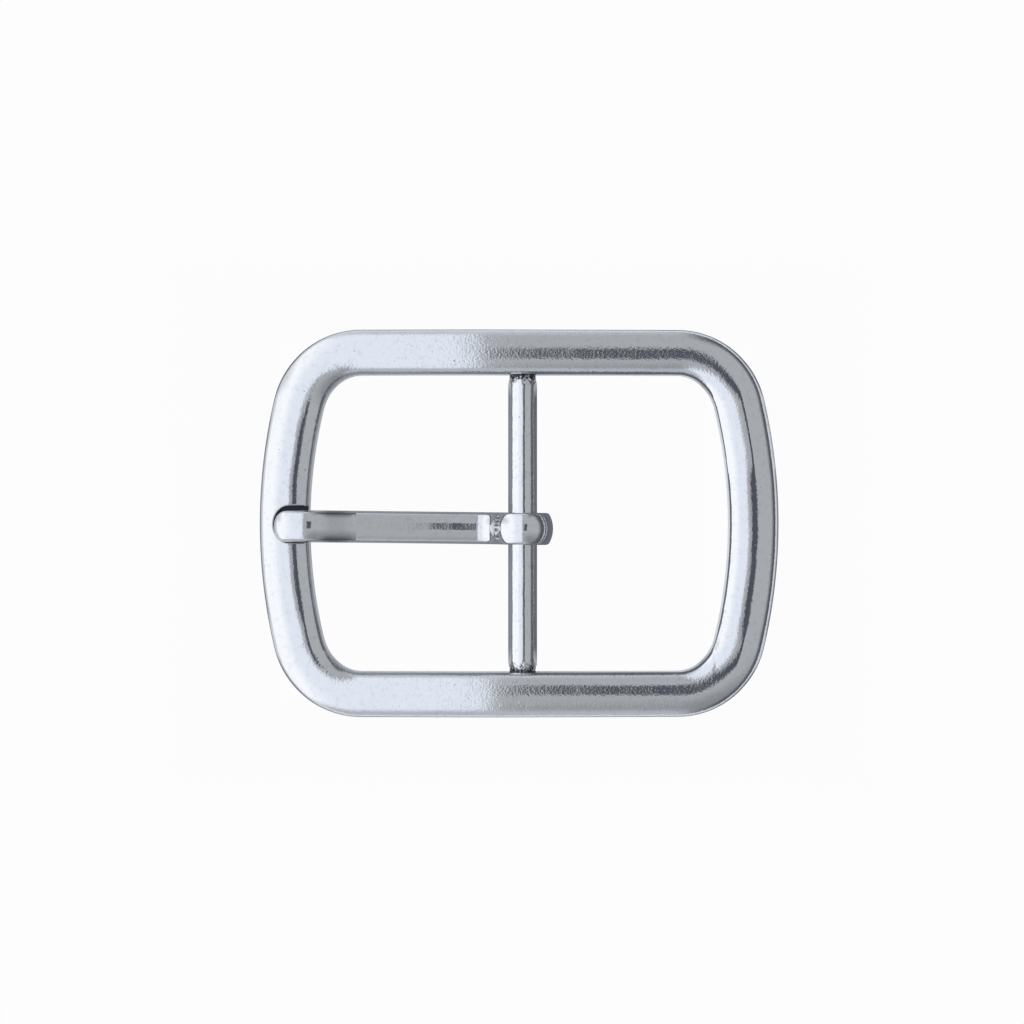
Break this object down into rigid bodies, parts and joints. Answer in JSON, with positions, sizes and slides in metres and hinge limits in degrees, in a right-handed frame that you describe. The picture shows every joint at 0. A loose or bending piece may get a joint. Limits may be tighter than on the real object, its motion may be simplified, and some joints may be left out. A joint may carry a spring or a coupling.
{
  "type": "belt buckle",
  "caption": "Centre-bar belt buckle with a domed rounded-rectangle frame, a round bar and a bent prong that swings on the bar and rests in a notch, for a dress belt.",
  "frame": {"origin": "under the middle of the frame, on the surface that the buckle lies on face up", "axes": "+Z out of the buckle's face, +X from the notched end rail to the plain end rail, +Y along the bar"},
  "size_m": [0.063, 0.0468, 0.0073],
  "materials": {
    "plated_casting": "polished plate over a casting with a fine pebbled skin",
    "plated_rod": "mirror polished plate, dull and dark in the corners at the rails",
    "plated_strip": "mirror polished plate with tool marks at the eye"
  },
  "bodies": {
    "frame": {"frame": "plated_casting", "centre_bar": "plated_rod"},
    "prong": {"prong": "plated_strip"}
  },
  "joints": [
    {"name": "prong_swing", "type": "hinge", "parent": "frame", "child": "prong", "pos_m": [0.0004, 0, 0.00355], "axis": [0, 1, 0], "range_deg": [0, 168]}
  ]
}
